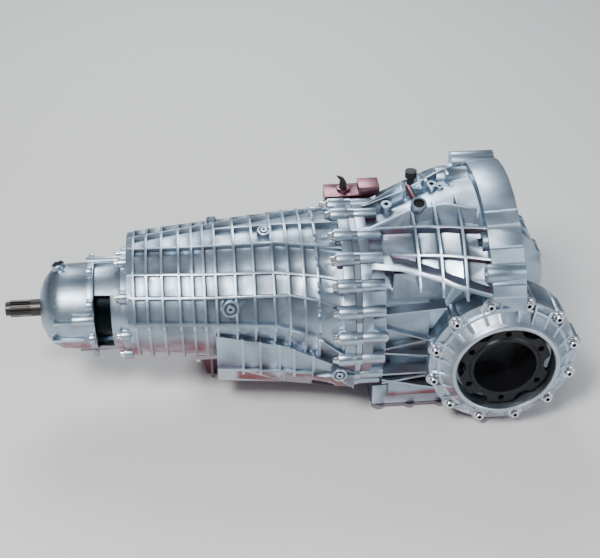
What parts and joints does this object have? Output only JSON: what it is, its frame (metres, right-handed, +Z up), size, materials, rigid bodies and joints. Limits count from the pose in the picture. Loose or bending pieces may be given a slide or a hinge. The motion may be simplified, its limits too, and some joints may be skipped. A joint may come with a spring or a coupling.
{
  "type": "gearbox housing",
  "caption": "Ribbed cast-alloy housing of a longitudinal transaxle with bell, main case, tail output and two side drive flanges.",
  "frame": {"origin": "tip of the input shaft, on its axis, in the face that bolts to the engine", "axes": "+X along the shafts towards the engine, +Z up, -Y the side with the visible drive flange"},
  "size_m": [0.7588, 0.3238, 0.3267],
  "materials": {
    "cast_alloy": "cast, bead-blasted, satin",
    "machined_alloy": "machined",
    "shaft_steel": "ground steel, dark",
    "bearing_steel": "ground steel",
    "plated_steel": "zinc-plated",
    "blackened_steel": "black, oily",
    "black_plastic": "matt black",
    "seal_rubber": "matt",
    "gasket_paper": "matt"
  },
  "bodies": {
    "housing": {"main_case": "cast_alloy", "bell_housing": "cast_alloy", "tail_housing": "cast_alloy", "differential_cover_right": "cast_alloy", "differential_cover_left": "cast_alloy", "oil_pan": "cast_alloy", "front_pan": "cast_alloy", "selector_housing": "cast_alloy", "clutch_cover": "machined_alloy", "bearing_plate": "machined_alloy", "input_bearing": "bearing_steel", "output_bearing": "bearing_steel", "drive_bearing_right": "bearing_steel", "drive_bearing_left": "bearing_steel", "input_seal": "seal_rubber", "output_seal": "seal_rubber", "drive_seal_right": "seal_rubber", "drive_seal_left": "seal_rubber", "breather": "black_plastic", "oil_pan_gasket": "gasket_paper", "front_pan_gasket": "gasket_paper", "joint_bolts": "plated_steel", "tail_bolts": "plated_steel", "cover_bolts_right": "plated_steel", "cover_bolts_left": "plated_steel"},
    "input": {"input_shaft": "shaft_steel"},
    "output": {"output_shaft": "shaft_steel"},
    "right_flange": {"drive_flange_right": "blackened_steel"},
    "left_flange": {"drive_flange_left": "blackened_steel"},
    "selector": {"selector_lever": "black_plastic"}
  },
  "joints": [
    {"name": "input_spin", "type": "hinge", "parent": "housing", "child": "input", "pos_m": [-0.1, 0, 0], "axis": [1, 0, 0], "continuous": true},
    {"name": "output_spin", "type": "hinge", "parent": "housing", "child": "output", "pos_m": [-0.6, 0, 0], "axis": [1, 0, 0], "continuous": true},
    {"name": "right_flange_spin", "type": "hinge", "parent": "housing", "child": "right_flange", "pos_m": [-0.011, -0.1, -0.04], "axis": [0, 1, 0], "continuous": true},
    {"name": "left_flange_spin", "type": "hinge", "parent": "housing", "child": "left_flange", "pos_m": [-0.011, 0.1, -0.04], "axis": [0, 1, 0], "continuous": true},
    {"name": "selector_turn", "type": "hinge", "parent": "housing", "child": "selector", "pos_m": [-0.206, 0.066, 0.11], "axis": [0, 0, 1], "range_deg": [-20, 20]}
  ]
}
